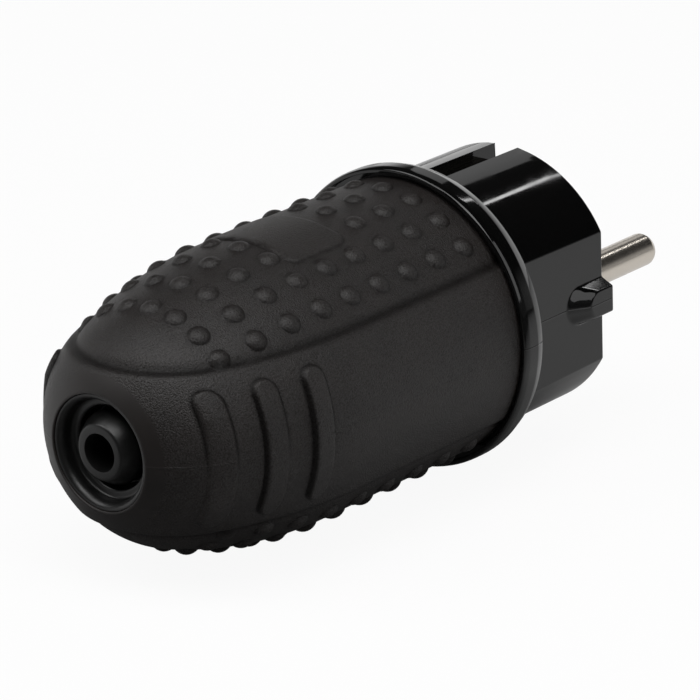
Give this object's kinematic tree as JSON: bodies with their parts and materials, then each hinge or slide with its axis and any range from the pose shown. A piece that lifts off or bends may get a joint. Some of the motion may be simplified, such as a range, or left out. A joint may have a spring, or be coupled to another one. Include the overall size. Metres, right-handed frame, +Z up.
{
  "type": "rubber electric plug",
  "caption": "Rewirable mains plug with round pins, side earth contacts, a gloss carrier with guide lugs, and a rubber hood with grip bumps, finger bars and a cable grommet.",
  "frame": {"origin": "centre of the engagement face, on the plug's long axis, midway between the pins", "axes": "+X along the plug towards the pin tips, +Z up through the upper earth slot; the plug lies on its side"},
  "size_m": [0.1054, 0.0436, 0.0436],
  "materials": {
    "hood_rubber": "moulded, fine grain",
    "grommet_rubber": "smooth, semi-gloss",
    "carrier_plastic": "moulded, gloss",
    "plated_pins": "nickel plated, turned",
    "earth_strip": "nickel plated, stamped",
    "plated_steel": "zinc plated",
    "clamp_plastic": "moulded, matte"
  },
  "bodies": {
    "root": {"hood": "hood_rubber", "cable_grommet": "grommet_rubber", "contact_carrier": "carrier_plastic", "left_pin": "plated_pins", "right_pin": "plated_pins", "earth_bracket": "earth_strip", "left_clamp_washer": "plated_steel", "right_clamp_washer": "plated_steel", "earth_clamp_washer": "plated_steel", "left_terminal_screw": "plated_steel", "right_terminal_screw": "plated_steel", "earth_screw": "plated_steel", "cord_clamp": "clamp_plastic", "left_clamp_screw": "plated_steel", "right_clamp_screw": "plated_steel"}
  },
  "joints": []
}
